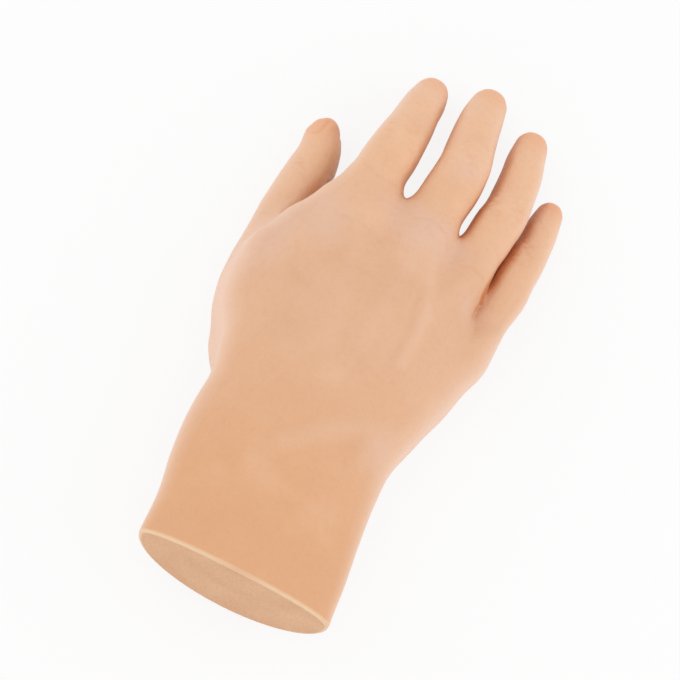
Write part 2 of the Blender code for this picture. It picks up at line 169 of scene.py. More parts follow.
# Digits: point in the palm where it starts, y of its web, length of its last segment, reach of its round end,
# heights of back and pad to width, softness of its join with the palm, height of the bulge over its joints,
# half widths at the start, root hinge, first segment, middle hinge, second segment, tip hinge, pad and end,
# and sideways leans of the flesh at the same places. The thumb starts along its ball, with no middle hinge.
DIGITS = {
    "index": {
        "start": (-18.5, 121.5, 8.0), "web": 158.5, "last": 21.9, "reach": 7.4,
        "back": 0.93, "pad": 0.98, "soft": 7.0, "bulge": 0.5,
        "widths": (10.6, 10.0, 9.9, 9.4, 8.6, 7.9, 7.5, 6.4),
        "leans": (0.0, 0.1, 0.35, 0.4, 0.35, -0.1, -0.1, -0.2),
    },
    "middle": {
        "start": (4.6, 121.5, 9.5), "web": 158.5, "last": 24.1, "reach": 7.8,
        "back": 0.93, "pad": 0.98, "soft": 7.0, "bulge": 0.5,
        "widths": (10.8, 10.0, 10.0, 9.6, 9.0, 8.4, 7.9, 6.9),
        "leans": (-0.8, -0.6, 0.35, 0.7, 0.0, -0.6, -0.7, -0.5),
    },
    "ring": {
        "start": (23.0, 117.5, 6.0), "web": 153.6, "last": 24.0, "reach": 6.8,
        "back": 0.95, "pad": 1.0, "soft": 6.0, "bulge": 0.6,
        "widths": (9.2, 8.7, 8.7, 8.5, 8.0, 7.6, 7.1, 6.2),
        "leans": (-1.0, -1.4, -0.6, 0.6, 0.9, 0.8, 0.2, 0.0),
    },
    "little": {
        "start": (35.4, 117.0, 0.5), "web": 139.8, "last": 17.7, "reach": 5.8,
        "back": 0.97, "pad": 1.02, "soft": 4.5, "bulge": 0.4,
        "widths": (7.6, 7.8, 7.85, 7.55, 6.9, 6.5, 5.9, 5.1),
        "leans": (0.0, -0.55, -0.85, -0.3, 0.15, 0.2, 0.2, 0.3),
    },
    "thumb": {
        "start": None, "web": 135.0, "last": 24.0, "reach": 7.4,
        "back": 0.9, "pad": 0.95, "soft": 4.0, "bulge": 0.1,
        "widths": (11.4, 10.0, 9.5, 9.2, 8.1, 6.5),
        "leans": (0.0, 0.0, 0.2, 0.8, 1.2, -0.7),
    },
}
SEGMENTS = {"finger": ("root", "mid", "tip"), "thumb": ("root", "tip")}
# Power of a digit's ovals.
DIGIT_POWER = 2.25
# Centreline: its step, over how many steps its bends are rounded, the steps that give the end's taper, and
# how many points are set against it at once.
LINE_STEP = 0.5
LINE_ROUND = 7
TAPER_STEPS = 6
PLACE_BLOCK = 40000
# The ball of the thumb joins the palm more softly than the thumb does: added softness, and where along y it
# sets in and ends.
BALL_SOFT = 12.0
BALL_RISE = (78.0, 96.0)
BALL_FADE = (104.0, 128.0)
# How far from its centreline a limb still changes the skin.
LIMB_MARGIN = {"finger": 20.0, "thumb": 32.0}
# Webs: the two fingers, y, radius and how far the web lies below the line between the fingers.
WEBS = (
    ("index", "middle", 151.4, 6.2, 0.0), ("index", "middle", 144.5, 8.8, 0.0),
    ("middle", "ring", 147.0, 6.0, 0.0), ("middle", "ring", 139.5, 8.6, 0.0),
    ("ring", "little", 123.0, 6.4, 6.5), ("ring", "little", 113.0, 7.5, 2.5),
)
WEB_SOFT = 5.0

# Bottom of the fold between the ring and little fingers, where shade is painted on: a line in plan, its half
# breadth and where along y it sets in.
CREASE = ((33.9, 136.4), (33.4, 139.0), (33.4, 143.0), (34.2, 150.0))
CREASE_HALF = 1.0
CREASE_START = (135.4, 137.6)

# Knuckles: how far behind the web they end, their share of the finger's thickness, how softly they join.
KNUCKLE_BACK = {"index": 12.0, "middle": 12.0, "ring": 26.0, "little": 22.0}
KNUCKLE_SHARE = 0.92
KNUCKLE_SOFT = 8.0

# Wrist rim: its wall, the rounding of its outer edge and that of the recess for the fill.
RIM_WALL = 2.4
RIM_ROUND = 1.2
RECESS_ROUND = 0.3
# Fill: its depth, its lap over the rim's inner edge, how proud it stands, its points round and rings across.
FILL_DEPTH = 6.0
FILL_LAP = 1.0
FILL_PROUD = 0.07
FILL_TURNS = 240
FILL_RINGS = 28
# Reach of the first and last ring of the flat face, then share and drop of the rings round the fill's edge.
FILL_FACE = (0.02, 0.99)
FILL_EDGE = ((0.997, 0.03), (1.0, 0.12), (1.0, FILL_DEPTH))
# Waves of the poured face: height, turn per mm of x and of z, and start; they die out by a power of reach.
FILL_SWELL = (0.05, 0.31, 0.37, 0.6)
FILL_RIPPLE = (0.03, 0.83, 0.7)
FILL_CALM = 6

# Seams of the skin: how far past the web the first lies, and the share of its segment where each next lies.
SEAM_PAST_WEB = 0.5
SEAM_SHARE = 0.52
# Skin that bends: its reach either side of a hinge, and how far it stays from a seam and from the web's.
BEND_REACH = 9.0
BEND_CLEAR = 1.4
WEB_CLEAR = 0.2

# A digit's stub in the palm piece: how far it goes past the seam, and how much thinner and how round the
# thumb's gets there.
STUB_PAST = 3.0
STUB_TAPER = 1.5
STUB_ROUND = 2.0
# How far from a finger's middle its stub is cut, as a share of its half width.
STUB_ROOM = 1.16

# Features of the back of the hand: lines of x, y points with a height and a half breadth in mm.
BACK_LINES = (
    (((11.0, 138.5), (15.2, 123.8), (17.9, 112.1), (17.0, 98.0)), 0.85, 3.0),
    (((12.6, 127.0), (14.9, 112.0), (13.8, 99.0)), -0.6, 2.0),
    (((0.0, 135.0), (7.1, 132.2)), 0.7, 3.0),
    (((16.4, 70.5), (5.0, 61.5), (-7.0, 51.0)), 0.8, 4.0),
    (((-19.0, 143.5), (-13.0, 113.5), (-6.0, 81.5)), 0.45, 3.6),
    (((5.5, 142.5), (3.0, 113.5), (0.0, 81.5)), 0.4, 3.4),
    (((24.5, 135.5), (14.0, 108.5), (6.0, 81.5)), 0.35, 3.2),
    (((-25.0, 138.5), (-20.0, 140.3), (-14.0, 138.5)), -0.3, 1.0),
    (((-26.0, 161.5), (-20.0, 159.0), (-12.0, 160.0)), -0.12, 1.0),
    (((-2.0, 150.0), (4.0, 152.0), (11.0, 150.5)), -0.22, 0.9),
    (((20.0, 143.0), (25.0, 144.5), (31.0, 143.0)), -0.2, 0.9),
)
# Bumps and hollows of the back: x, y, height and the half breadths across and along.
BACK_SPOTS = (
    (-20.6, 149.5, 1.3, 7.0, 8.0),
    (6.2, 148.0, 1.5, 7.0, 8.5),
    (25.5, 140.5, 1.2, 6.0, 8.0),
    (38.5, 128.5, 0.9, 5.0, 7.0),
    (-7.5, 150.5, -0.5, 4.0, 9.0),
    (16.5, 144.5, -0.5, 3.5, 9.0),
    (32.5, 133.5, -0.5, 3.0, 8.0),
    (19.9, 61.5, 1.4, 5.0, 8.0),
    (12.5, 58.5, -0.6, 3.5, 7.0),
    (-24.0, 115.5, -0.7, 8.0, 18.0),
    (-30.0, 65.5, -0.8, 7.0, 8.0),
)
# Creases of the palm's underside: x, y points, height and half breadth.
PALM_LINES = (
    (((45.0, 119.5), (32.0, 125.5), (14.0, 128.5), (-2.0, 132.5), (-11.0, 139.5)), -0.9, 0.9),
    (((-32.0, 124.5), (-16.0, 116.5), (6.0, 108.5), (27.0, 100.5)), -0.8, 0.9),
    (((-31.0, 126.5), (-21.0, 113.5), (-13.5, 96.5), (-12.0, 81.5), (-15.0, 69.5)), -0.9, 1.0),
    (((-30.0, 64.5), (-10.0, 62.0), (12.0, 62.0), (28.0, 64.5)), -0.7, 0.9),
    (((-32.0, 69.5), (-12.0, 67.5), (12.0, 67.5), (29.0, 69.5)), -0.5, 0.8),
)
# How far the skin has to face up, or down, for these to begin and to be whole: rise of the normal.
BACK_FACING = (0.1, 0.6)
UNDER_FACING = (0.0, 0.5)

# Finger joints: sizes are for a finger of this half width, and change with it.
USUAL_HALF = 9.0
# Half breadth of the bulge over a hinge, along the finger.
BULGE_HALF = 5.0
# Wrinkles over a hinge: place along the digit and depth; their half breadth, their bow away from the hinge,
# and their share at each hinge from the root, which has none.
WRINKLES = ((-4.0, 0.3), (-2.1, 0.5), (0.0, 0.6), (1.9, 0.45), (3.9, 0.3))
WRINKLE_HALF = 0.62
WRINKLE_BOW = 1.5
WRINKLE_SHARE = {"finger": (0.0, 1.15, 0.35), "thumb": (0.0, 0.75)}
# Each wrinkle wanders by a sine across the finger and fades by another: height, turn across and per wrinkle.
WRINKLE_WANDER = (0.45, 7.0, 2.3)
WRINKLE_FADE = (0.45, 6.1, 3.7)
# Where wrinkles and bulges lie: rise above the centreline and breadth from it, as shares of the half width.
WRINKLE_RISE = (0.15, 0.5)
WRINKLE_SIDES = (0.55, 0.95)
# Creases under the hinges: place past the hinge, depth and half breadth; the root has only one, behind it.
PAD_CREASES = ((0.0, 0.75, 0.9), (2.4, 0.35, 0.7))
ROOT_CREASE = (-1.0, 0.5, 1.0)
CREASE_BOW = 1.2
PAD_RISE = (0.0, 0.4)

# Nails: half length and half breadth as shares of the finger's half width, and strength of their relief.
NAIL_LENGTH = 0.62
NAIL_BREADTH = {"finger": 0.76, "thumb": 0.56}
NAIL_STRENGTH = {"finger": 0.2, "thumb": 0.8}
# Skin past the nail's end, the power of its rounded square, and the rise from the centreline where it begins.
NAIL_SHORT = 1.6
NAIL_POWER = 3.0
NAIL_RISE = (0.05, 0.35)
# Heights of the groove round the nail, its plate, its free edge and the fold behind it.
NAIL_GROOVE = -0.42
NAIL_PLATE = 0.22
NAIL_LIP = 0.28
NAIL_FOLD = 0.25
# Half breadths of groove and fold in mm; then, as shares of the nail, where the fold lies, where plate and
# free edge stop at the nail's edge, and where along it the free edge begins and the fold ends.
GROOVE_HALF = 0.75
FOLD_HALF = 1.3
FOLD_PLACE = 1.35
PLATE_EDGE = (0.75, 0.98)
LIP_EDGE = (0.9, 1.0)
LIP_RUN = (0.55, 0.9)
FOLD_RUN = (0.2, 0.9)

# Shade in folds: steps outward in mm and their weights.
SHADE_STEPS = ((1.5, 0.25), (3.5, 0.3), (7.0, 0.25), (13.0, 0.2))
# Painted light on the sides, a pale tint where the skin faces sideways: how far off the skin its slope is
# judged, and over how many cells it is blurred.
EDGE_REACH = 3.0
EDGE_BLUR = 3
# Flush of the fingertips: distances from the end where it is full and where it stops.
TIP_FLUSH = (3.0, 20.0)
# Pale pinkish patches on skin that faces up: x, y and the half breadths across and along; and the rise of the
# normal where they show.
PALE_PATCHES = (
    (-7.0, 152.0, 9.0, 9.0),
    (16.0, 146.0, 8.0, 9.0),
    (4.0, 146.0, 12.0, 9.0),
    (-30.0, 138.0, 12.0, 16.0),
    (-46.0, 122.0, 9.0, 16.0),
    (33.0, 131.0, 8.0, 8.0),
    (24.0, 66.0, 7.0, 12.0),
    (7.0, 178.0, 9.0, 8.0),
)
PALE_PATCH_FACING = (0.2, 0.7)

# Pattern sizes in mm. The skin's pores and grain and the steel's frost are finer in the real ones, and are
# drawn as coarse as they need to show.
SKIN_MOTTLE, SKIN_PATCH_NOISE, SKIN_GRAIN, SKIN_SPECK, SKIN_PORE = 22.0, 12.0, 2.2, 1.9, 1.1
FILL_CLOUD, FILL_BUBBLE, FILL_GRAIN = 15.0, 3.0, 1.3
NYLON_CLOUD = 6.0
STEEL_FROST = 0.8


def through(y, knots, values):
    """Smooth curve through knots: a cubic on each span whose end slopes come from the neighbours."""
    slopes = np.gradient(values, knots)
    span = np.clip(np.searchsorted(knots, y, side="right") - 1, 0, len(knots) - 2)
    width = knots[span + 1] - knots[span]
    t = np.clip((y - knots[span]) / width, 0.0, 1.0)
    low = values[span] * (1.0 + 2.0 * t) * (1.0 - t) ** 2 + values[span + 1] * t * t * (3.0 - 2.0 * t)
    return low + width * (slopes[span] * t * (1.0 - t) ** 2 - slopes[span + 1] * t * t * (1.0 - t))


def join(a, b, soft):
    """Soft union: the lesser of two fields, eased downward by a parabola where they are within soft."""
    near = np.maximum(soft - np.abs(a - b), 0.0) / soft
    return np.minimum(a, b) - near * near * soft * 0.25


def meet(a, b, soft):
    """Soft overlap: the greater of two fields, eased upward where they are within soft."""
    return -join(-a, -b, soft)


def oval_field(side, lift, half_side, half_lift, power, ahead=0.0, reach=1.0):
    """Signed distance to a rounded oval along the ray from its centre: the point's distance, less that
    distance over its ratio, which is 1 on the oval and is the root of the summed powers of its shares."""
    ratio = (np.abs(side / half_side) ** power + np.abs(lift / half_lift) ** power
             + np.abs(ahead / reach) ** power) ** (1.0 / power)
    radius = np.sqrt(side * side + lift * lift + ahead * ahead)
    return radius - radius / np.maximum(ratio, 1e-3)


def palm_field(x, y, z, inset=0.0):
    """Ovals carried along +Y whose four reaches follow the palm's stations."""
    left, right, top, waist, bottom, fall = (through(y, PALM[:, 0], column) for column in PALM[:, 1:].T)
    side = x - (left + right) / 2.0
    lift = z - waist + fall * side
    tall = np.where(lift > 0.0, top - waist, waist - bottom) - inset
    power = np.where(lift > 0.0, BACK_POWER, PALM_POWER)
    return oval_field(side, lift, (right - left) / 2.0 - inset, tall, power)


def bead_field(x, y, z, beads):
    """Round limb through beads: distance to the nearest bead line less a radius that changes along it."""
    field = None
    for (ax, ay, az, ar), (bx, by, bz, br) in zip(beads, beads[1:]):
        run = np.array((bx - ax, by - ay, bz - az))
        t = ((x - ax) * run[0] + (y - ay) * run[1] + (z - az) * run[2]) / (run @ run)
        t = np.clip(t, 0.0, 1.0)
        gap = np.sqrt((x - ax - t * run[0]) ** 2 + (y - ay - t * run[1]) ** 2 + (z - az - t * run[2]) ** 2)
        part = gap - (ar + (br - ar) * t)
        field = part if field is None else join(field, part, BEAD_SOFT)
    return field


class Digit:
    """Centreline, cross-sections and seams of a finger or the thumb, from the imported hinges."""

    def __init__(self, name):
        self.name = name
        self.shape = DIGITS[name]
        self.kind = "thumb" if name == "thumb" else "finger"
        self.parts = SEGMENTS[self.kind]
        joints = {joint["name"]: joint for joint in frame["joints"]}
        mine = [joints["%s_%s_bend" % (name, part)] for part in self.parts]
        self.hinges = [np.array(joint["pos_m"]) / MM for joint in mine]
        self.across = -np.array(mine[0]["axis"])
        low, high = (np.array(corner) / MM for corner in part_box("%s_tip_skin" % name))
        towards = (low + high) / 2.0 - self.hinges[-1]
        towards -= self.across * (towards @ self.across)
        self.end_way = towards / np.linalg.norm(towards)
        self.trace()

    def trace(self):
        """Lay the centreline through the start, the hinges and the tip, rounded a little at each bend."""
        shape = self.shape
        if shape["start"] is None:
            starts = [np.array(bead[:3]) for bead in THUMB_BALL]
            start_widths = [bead[3] for bead in THUMB_BALL]
        else:
            starts = [np.array(shape["start"])]
            start_widths = [shape["widths"][0]]
        last = self.hinges[-1] + self.end_way * (shape["last"] - shape["reach"])
        points = np.array(starts + self.hinges + [last])
        steps = np.linalg.norm(np.diff(points, axis=0), axis=1)
        marks = np.concatenate(([0.0], np.cumsum(steps)))
        self.marks = marks[len(starts):-1]
        self.length = marks[-1]
        arc = np.arange(0.0, self.length + LINE_STEP / 2.0, LINE_STEP)
        arc[-1] = self.length
        line = np.stack([np.interp(arc, marks, points[:, axis]) for axis in range(3)], axis=1)
        self.arc = arc
        self.line = soften(line, LINE_ROUND)
        tangent = np.gradient(self.line, axis=0)
        self.tangent = tangent / np.linalg.norm(tangent, axis=1)[:, None]
        up = np.cross(self.across, self.tangent)
        self.up = up / np.linalg.norm(up, axis=1)[:, None]
        self.side = np.cross(self.tangent, self.up)
        bends = marks[len(starts):]
        stops = np.sort(np.concatenate((marks, (bends[1:] + bends[:-1]) / 2.0)))
        widths = np.array(start_widths + list(shape["widths"][1:]))
        leans = np.array([shape["leans"][0]] * len(starts) + list(shape["leans"][1:]))
        self.half = through(arc, stops, widths)
        self.line += self.side * through(arc, stops, leans)[:, None]
        before = -1 - TAPER_STEPS
        self.taper = (self.half[-1] - self.half[before]) / (arc[-1] - arc[before])

    def place(self, points):
        """Each point's nearest place on the centreline, and how far it lies to the side, above and ahead."""
        nearest = np.empty(len(points), int)
        for first in range(0, len(points), PLACE_BLOCK):
            block = points[first:first + PLACE_BLOCK]
            reach = (block * block).sum(1)[:, None] - 2.0 * block @ self.line.T + (self.line ** 2).sum(1)
            nearest[first:first + PLACE_BLOCK] = reach.argmin(1)
        offset = points - self.line[nearest]
        side = (offset * self.side[nearest]).sum(1)
        lift = (offset * self.up[nearest]).sum(1)
        ahead = (offset * self.tangent[nearest]).sum(1)
        return nearest, side, lift, ahead

    def field(self, points):
        """Signed distance to the digit: flatter on the back, fuller on the pad, closed by a round end."""
        nearest, side, lift, ahead = self.place(points)
        half = self.half[nearest]
        tip = nearest == len(self.line) - 1
        half = np.where(tip, half + self.taper * np.clip(ahead, 0.0, self.shape["reach"]), half)
        tall = np.where(lift > 0.0, half * self.shape["back"], half * self.shape["pad"])
        ends = (nearest == 0) | tip
        reach = np.where(nearest == 0, half, self.shape["reach"])
        return oval_field(side, lift, half, tall, DIGIT_POWER, np.where(ends, ahead, 0.0), reach)

    def spot(self, y):
        """Which point of the centreline is nearest to a y."""
        return np.abs(self.line[:, 1] - y).argmin()

    def at(self, arc):
        """Centre and direction at a length along the centreline."""
        index = int(round(np.interp(arc, self.arc, np.arange(len(self.arc)))))
        return self.line[index], self.tangent[index]


def soften(line, half):
    """Average each point with its neighbours by a raised cosine, and less and less towards the two ends."""
    weights = np.hanning(2 * half + 3)[1:-1]
    weights /= weights.sum()
    ends = [np.repeat(line[:1], half, axis=0), line, np.repeat(line[-1:], half, axis=0)]
    padded = np.concatenate(ends)
    smooth = np.stack([np.convolve(padded[:, axis], weights, mode="valid") for axis in range(3)], axis=1)
    fade = np.minimum(np.arange(len(line)), np.arange(len(line))[::-1])[:, None] / half
    fade = np.clip(fade, 0.0, 1.0)
    return line * (1.0 - fade) + smooth * fade


class Grid:
    """A box of evenly spaced points at which fields are worked out."""

    def __init__(self, low, high, step):
        self.low = np.floor(np.array(low) / step) * step
        self.step = step
        self.count = np.ceil((np.array(high) - self.low) / step).astype(int) + 1
        axes = [self.low[axis] + step * np.arange(self.count[axis]) for axis in range(3)]
        self.x, self.y, self.z = np.meshgrid(*axes, indexing="ij", sparse=True)

    def points(self, chosen=...):
        """Every point of the box, or those that a mask chooses, one to a row."""
        full = np.broadcast_arrays(self.x, self.y, self.z)
        return np.stack([axis[chosen].ravel() for axis in full], axis=1)

    def sample(self, values, points):
        """Field at any points, weighted between the eight grid points round each."""
        spot = np.clip((points - self.low) / self.step, 0.0, self.count - 1.001)
        cell = spot.astype(int)
        part = spot - cell
        total = np.zeros(len(points))
        for corner in range(8):
            offset = np.array((corner & 1, corner >> 1 & 1, corner >> 2 & 1))
            weight = np.prod(np.where(offset, part, 1.0 - part), axis=1)
            place = cell + offset
            total += weight * values[tuple(place.T)]
        return total


def body_field(grid):
    """The palm, ended softly ahead, with its heel, the flesh by the thumb, the knuckles and the webs."""
    x, y, z = grid.x, grid.y, grid.z
    ahead = y - np.interp(x, PALM_END_X, PALM_END_Y) + 0.0 * z
    field = meet(palm_field(x, y, z), ahead, PALM_SOFT)
    for beads, soft in FLESH:
        field = join(field, bead_field(x, y, z, beads), soft)
    for name, back in KNUCKLE_BACK.items():
        digit = digits[name]
        ends = (0, digit.spot(digit.shape["web"] - back))
        beads = [(*digit.line[end], digit.half[end] * KNUCKLE_SHARE) for end in ends]
        field = join(field, bead_field(x, y, z, beads), KNUCKLE_SOFT)
    for first, second, reach, radius, drop in WEBS:
        ends = [digits[name].line[digits[name].spot(reach)] for name in (first, second)]
        beads = [(end[0], end[1], end[2] - drop, radius) for end in ends]
        field = join(field, bead_field(x, y, z, beads), WEB_SOFT)
    return field


def with_stub(field, grid, digit):
    """The body's field joined with one digit, which stops a little past its first seam."""
    margin = LIMB_MARGIN[digit.kind]
    low, high = digit.line.min(0) - margin, digit.line.max(0) + margin
    inside = (grid.x > low[0]) & (grid.x < high[0]) & (grid.y > low[1]) & (grid.y < high[1])
    inside = inside & (grid.z > low[2]) & (grid.z < high[2])
    points = grid.points(inside)
    centre, way = digit.at(seam_arcs(digit)[0] + STUB_PAST)
    past = (points - centre) @ way
    limb = np.maximum(digit.field(points), past)
    soft = digit.shape["soft"]
    if digit.kind == "thumb":
        limb = meet(limb + STUB_TAPER * ramp(past, -STUB_PAST, 0.0), past, STUB_ROUND)
        along = points[:, 1]
        soft = soft + BALL_SOFT * ramp(along, *BALL_RISE) * (1.0 - ramp(along, *BALL_FADE))
    joined = field.copy()
    joined[inside] = join(field[inside], limb, soft)
    return joined


def surface(grid, field):
    """Points and quads where a field is zero: one point in each crossed cell, then drawn onto the surface."""
    shape = np.array(field.shape) - 1
    total = np.zeros((*shape, 3), np.float32)
    hits = np.zeros(shape, np.float32)
    corners = [np.array(corner) for corner in np.ndindex(2, 2, 2)]

    def corner_values(corner):
        """The field at one corner of every cell."""
        return field[tuple(slice(start, start + size) for start, size in zip(corner, shape))]

    for axis in range(3):
        for corner in corners:
            if corner[axis]:
                continue
            other = corner.copy()
            other[axis] = 1
            a, b = corner_values(corner), corner_values(other)
            crossed = (a < 0.0) != (b < 0.0)
            share = np.where(crossed, a / np.where(crossed, a - b, 1.0), 0.0)
            for direction in range(3):
                place = corner[direction] + (share if direction == axis else 0.0)
                total[..., direction] += np.where(crossed, place, 0.0)
            hits += crossed
    active = hits > 0
    number = np.full(shape, -1)
    number[active] = np.arange(active.sum())
    cells = np.argwhere(active)
    points = grid.low + grid.step * (cells + total[active] / hits[active][:, None])
    quads = []
    for axis in range(3):
        u, v = (axis + 1) % 3, (axis + 2) % 3
        near = np.take(field, np.arange(shape[axis]), axis=axis)
        far = np.take(field, np.arange(1, shape[axis] + 1), axis=axis)
        edges = np.argwhere((near < 0.0) != (far < 0.0))
        whole = (edges[:, (u, v)] > 0) & (edges[:, (u, v)] < shape[[u, v]])
        edges = edges[whole.all(1)]
        ring = []
        for du, dv in ((1, 1), (0, 1), (0, 0), (1, 0)):
            cell = edges.copy()
            cell[:, u] -= du
            cell[:, v] -= dv
            ring.append(number[tuple(cell.T)])
        ring = np.stack(ring, axis=1)
        inward = near[tuple(edges.T)] >= 0.0
        ring[inward] = ring[inward][:, ::-1]
        quads.append(ring)
    slopes = np.gradient(field, grid.step)
    most = DRAW_MOST * grid.step
    for _ in range(DRAW_PASSES):
        value = grid.sample(field, points)
        slope = np.stack([grid.sample(part, points) for part in slopes], axis=1)
        push = value / np.maximum((slope * slope).sum(1), DRAW_SLOPE)
        points = points - slope * np.clip(push, -most, most)[:, None]
    return points, np.concatenate(quads)


def point_normals(points, quads):
    """Outward direction at each point: the sum of the faces round it, larger faces counting more."""
    a, b, c, d = (points[quads[:, corner]] for corner in range(4))
    faces = np.cross(c - a, d - b)
    normals = np.zeros_like(points)
    for corner in range(4):
        for axis in range(3):
            normals[:, axis] += np.bincount(quads[:, corner], weights=faces[:, axis], minlength=len(points))
    return normals / np.maximum(np.linalg.norm(normals, axis=1), 1e-9)[:, None]


def line_gap(x, y, line):
    """Distance in plan from each point to the nearest of a line's straight runs."""
    gap = np.full(x.shape, np.inf)
    for (ax, ay), (bx, by) in zip(line, line[1:]):
        run = (bx - ax) ** 2 + (by - ay) ** 2
        t = np.clip(((x - ax) * (bx - ax) + (y - ay) * (by - ay)) / run, 0.0, 1.0)
        gap = np.minimum(gap, np.hypot(x - ax - t * (bx - ax), y - ay - t * (by - ay)))
    return gap


def ramp(value, low, high):
    """0 below low, 1 above high, and between them three times the square less twice the cube of the share."""
    t = np.clip((value - low) / (high - low), 0.0, 1.0)
    return t * t * (3.0 - 2.0 * t)


def rounded(gap, breadth):
    """A rounded ridge of height 1: the bell curve of a distance over a half breadth."""
    return np.exp(-(gap / breadth) ** 2)


def palm_relief(points, normals):
    """Knuckles, tendons and veins on the back, creases underneath: rounded ridges by distance in plan.
    Gives the whole height, and the height without the broad bumps, which paints the skin paler on ridges and
    darker in grooves: painted highlight and painted shade."""
    x, y = points[:, 0], points[:, 1]
    back = ramp(normals[:, 2], *BACK_FACING)
    under = ramp(-normals[:, 2], *UNDER_FACING)
    fine = np.zeros(len(points))
    for lines, facing in ((BACK_LINES, back), (PALM_LINES, under)):
        for line, tall, breadth in lines:
            fine += facing * tall * rounded(line_gap(x, y, line), breadth)
    broad = np.zeros(len(points))
    for spot_x, spot_y, tall, across, along in BACK_SPOTS:
        broad += back * tall * rounded(x - spot_x, across) * rounded(y - spot_y, along)
    return fine + broad, fine


def digit_relief(digit, points):
    """Wrinkles over the hinges, creases under them, and the nail, placed by length along the digit."""
    nearest, side, lift, ahead = digit.place(points)
    half = digit.half[nearest]
    along = digit.arc[nearest] + ahead
    across = side / half
    back = ramp(lift / half, *WRINKLE_RISE) * (1.0 - ramp(np.abs(across), *WRINKLE_SIDES))
    pad = ramp(-lift / half, *PAD_RISE)
    height = nail_relief(digit, along, side, lift, half)
    for index, mark in enumerate(digit.marks):
        past = along - mark
        bowed = past + CREASE_BOW * across ** 2
        if index == 0:
            place, depth, breadth = ROOT_CREASE
            height -= pad * depth * rounded(bowed - place, breadth)
            continue
        size = digit.half[np.abs(digit.arc - mark).argmin()] / USUAL_HALF
        height += back * digit.shape["bulge"] * size * rounded(past, BULGE_HALF * size)
        height -= back * size * wrinkles(digit, index, past, across, size)
        for place, depth, breadth in PAD_CREASES:
            height -= pad * depth * size * rounded(bowed - place * size, breadth)
    return height


def wrinkles(digit, index, past, across, size):
    """Depth of the wrinkles over one hinge: each bows away from it, wanders by a sine across the finger and
    fades by another."""
    wander, wander_turn, wander_step = WRINKLE_WANDER
    fade, fade_turn, fade_step = WRINKLE_FADE
    share = WRINKLE_SHARE[digit.kind][index]
    bowed = past - WRINKLE_BOW * across ** 2 * np.sign(past)
    total = np.zeros(len(past))
    for place, depth in WRINKLES:
        moved = wander * np.sin(across * wander_turn + place * wander_step + index)
        own = 2.0 * index + len(digit.name)
        left = 1.0 - fade + fade * np.sin(across * fade_turn + place * fade_step + own)
        total += depth * left * share * rounded(bowed + moved - place * size, WRINKLE_HALF)
    return total


def nail_relief(digit, along, side, lift, half):
    """A nail moulded in the skin: a plate inside a rounded square, sunk at its rim and proud at its end."""
    end = digit.length + digit.shape["reach"]
    reach = digit.half[-1] * NAIL_LENGTH
    breadth = digit.half[-1] * NAIL_BREADTH[digit.kind]
    run = (along - (end - NAIL_SHORT - reach)) / reach
    edge = (np.abs(side / breadth) ** NAIL_POWER + np.abs(run) ** NAIL_POWER) ** (1.0 / NAIL_POWER)
    groove = NAIL_GROOVE * rounded((edge - 1.0) * breadth, GROOVE_HALF)
    plate = NAIL_PLATE * (1.0 - ramp(edge, *PLATE_EDGE))
    lip = NAIL_LIP * ramp(run, *LIP_RUN) * (1.0 - ramp(edge, *LIP_EDGE))
    fold = NAIL_FOLD * rounded((edge - FOLD_PLACE) * breadth, FOLD_HALF) * (1.0 - ramp(run, *FOLD_RUN))
    return ramp(lift / half, *NAIL_RISE) * NAIL_STRENGTH[digit.kind] * (groove + plate + lip + fold)


def shade_of(points, normals):
    """How far folds close over each point: the field at steps outward, short of what open air gives."""
    closed = np.zeros(len(points))
    for reach, weight in SHADE_STEPS:
        free = shade_grid.sample(shade_field, points + normals * reach)
        closed += weight * np.clip(1.0 - free / reach, 0.0, 1.0)
    return closed


def crease_shade_of(points):
    """Painted shade in the fold between the ring and little fingers: how deep each point lies in it, by its
    distance in plan.
    """
    gap = line_gap(points[:, 0], points[:, 1], CREASE)
    return rounded(gap, CREASE_HALF) * ramp(points[:, 1], *CREASE_START)


def side_light_of(points, normals):
    """Painted light on the sides: how far each point faces sideways, 1 less the upright share of the blurred
    slope just off the skin.
    """
    spots = points + normals * EDGE_REACH
    slope = np.stack([shade_grid.sample(part, spots) for part in shade_slopes], axis=1)
    return 1.0 - np.abs(slope[:, 2]) / np.maximum(np.linalg.norm(slope, axis=1), 1e-6)


def blurred(values, cells):
    """Average over a box that reaches so many cells each way along the three axes."""
    for axis in range(3):
        values = sum(np.roll(values, shift, axis) for shift in range(-cells, cells + 1)) / (2 * cells + 1)
    return values


def pale_patch_of(points, normals):
    """Where the skin is paler and pinker in patches: over the knuckles and webs, and in the hollow beside the
    wrist's bump.
    """
    dust = np.zeros(len(points))
    for x, y, across, along in PALE_PATCHES:
        dust += rounded(points[:, 0] - x, across) * rounded(points[:, 1] - y, along)
    return np.clip(dust, 0.0, 1.0) * ramp(normals[:, 2], *PALE_PATCH_FACING)


def tip_of(points):
    """How near each point is to the end of a finger, by its distance from that end."""
    near = np.zeros(len(points))
    for digit in digits.values():
        end = digit.line[-1] + digit.tangent[-1] * digit.shape["reach"]
        near = np.maximum(near, 1.0 - ramp(np.linalg.norm(points - end, axis=1), *TIP_FLUSH))
    return near


